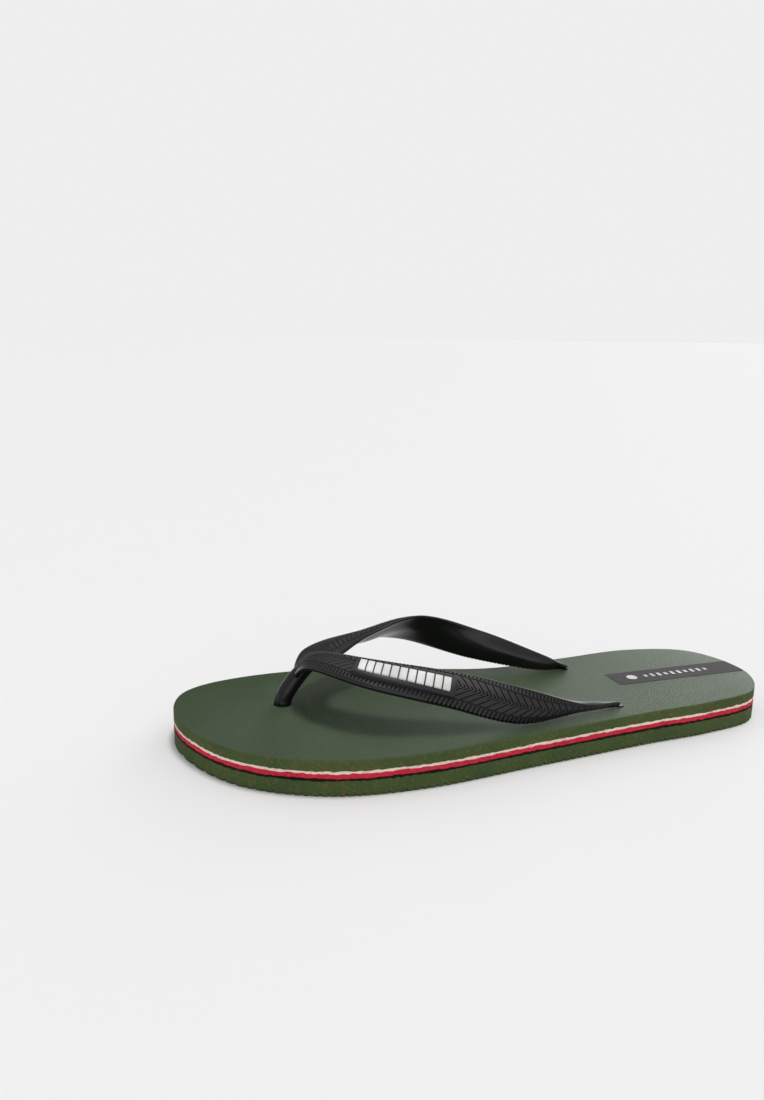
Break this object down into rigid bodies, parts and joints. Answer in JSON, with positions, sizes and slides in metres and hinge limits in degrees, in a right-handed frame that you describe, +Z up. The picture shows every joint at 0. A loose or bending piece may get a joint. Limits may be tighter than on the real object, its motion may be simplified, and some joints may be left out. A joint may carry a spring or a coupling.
{
  "type": "flip flop",
  "caption": "Left flip flop: layered foam sole with red, white and black stripe sheets, held by a moulded black Y strap with a raised badge.",
  "frame": {"origin": "middle of the sole's underside, on the ground", "axes": "+X towards the toes along the foot, +Y towards the outer side of the foot, +Z up"},
  "size_m": [0.285, 0.108, 0.0463],
  "materials": {
    "footbed_foam": "matt closed-cell foam sheet with a fine diamond texture, green",
    "sole_foam": "matt closed-cell foam, ribbed underneath, dark green with light specks",
    "stripe_white": "matt cut foam edge, warm white",
    "stripe_red": "matt cut foam edge, red",
    "stripe_black": "matt cut foam edge, black",
    "strap_rubber": "soft moulded rubber, black, herringbone on the outer face and smooth gloss underneath",
    "badge_white": "satin moulded rubber, white",
    "label_print": "thin matt transfer film, warm grey"
  },
  "bodies": {
    "rearfoot": {"outsole_rear": "sole_foam", "black_stripe_sheet_rear": "stripe_black", "red_stripe_sheet_rear": "stripe_red", "white_stripe_sheet_rear": "stripe_white", "footbed_rear": "footbed_foam", "strap": "strap_rubber", "badge_plate": "strap_rubber", "badge_bar_1": "badge_white", "badge_bar_2": "badge_white", "badge_bar_3": "badge_white", "badge_bar_4": "badge_white", "badge_bar_5": "badge_white", "badge_bar_6": "badge_white", "badge_bar_7": "badge_white", "badge_bar_8": "badge_white", "badge_bar_9": "badge_white", "badge_bar_10": "badge_white", "badge_bar_11": "badge_white", "heel_label": "label_print"},
    "forefoot": {"outsole_front": "sole_foam", "black_stripe_sheet_front": "stripe_black", "red_stripe_sheet_front": "stripe_red", "white_stripe_sheet_front": "stripe_white", "footbed_front": "footbed_foam"}
  },
  "joints": [
    {"name": "ball_flex", "type": "hinge", "parent": "rearfoot", "child": "forefoot", "pos_m": [0.0425, 0, 0.0158], "axis": [0, -1, 0], "range_deg": [0, 40], "stiffness_Nm_per_rad": 0.6, "deforming": ["strap"]}
  ]
}
